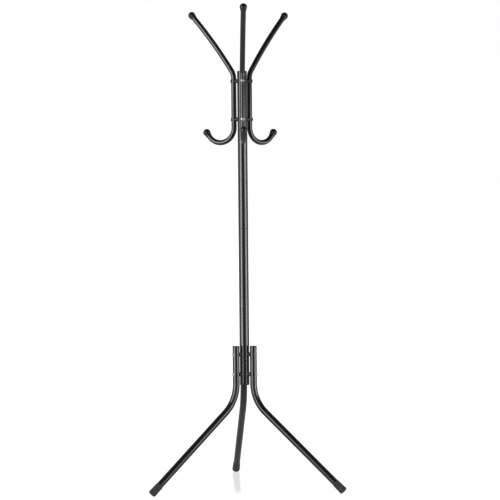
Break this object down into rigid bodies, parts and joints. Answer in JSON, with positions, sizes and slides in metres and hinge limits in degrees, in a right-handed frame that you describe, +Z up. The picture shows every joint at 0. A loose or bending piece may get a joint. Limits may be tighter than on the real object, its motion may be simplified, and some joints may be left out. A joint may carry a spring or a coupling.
{
  "type": "standing coat rack",
  "caption": "Free-standing coat rack: a round pole on splayed tube legs, with bent tube arms that make ball-tipped prongs above and hooks below.",
  "frame": {"origin": "bottom centre of the rack's bounding box, to within 4 mm, on the floor between the feet; the pole's axis stands 91 mm in front of it, at x = 0, y = -91 mm", "axes": "+Z up along the pole; -Y is the front, where one arm points; +X is to the right seen from the front; the third leg points along +Y to within 2 degrees"},
  "size_m": [0.6641, 0.5852, 1.6498],
  "materials": {
    "black_tube": "gloss",
    "black_plastic": "gloss",
    "spacer_plastic": "satin",
    "foot_rubber": "matte",
    "zinc_steel": "satin",
    "plain_steel": "satin"
  },
  "bodies": {
    "root": {"pole_lower": "black_tube", "pole_upper": "black_tube", "pole_joiner": "plain_steel", "pole_top_plug": "black_plastic", "pole_bottom_plug": "black_plastic", "arm_front": "black_tube", "arm_left": "black_tube", "arm_right": "black_tube", "prong_cap_front": "black_plastic", "prong_cap_left": "black_plastic", "prong_cap_right": "black_plastic", "hook_cap_front": "black_plastic", "hook_cap_left": "black_plastic", "hook_cap_right": "black_plastic", "arm_spacers": "spacer_plastic", "arm_screws": "zinc_steel", "arm_inserts": "plain_steel", "leg_left": "black_tube", "leg_right": "black_tube", "leg_back": "black_tube", "leg_plug_left": "black_plastic", "leg_plug_right": "black_plastic", "leg_plug_back": "black_plastic", "foot_left": "foot_rubber", "foot_right": "foot_rubber", "foot_back": "foot_rubber", "leg_spacers": "spacer_plastic", "leg_screws": "zinc_steel", "leg_inserts": "plain_steel"}
  },
  "joints": []
}
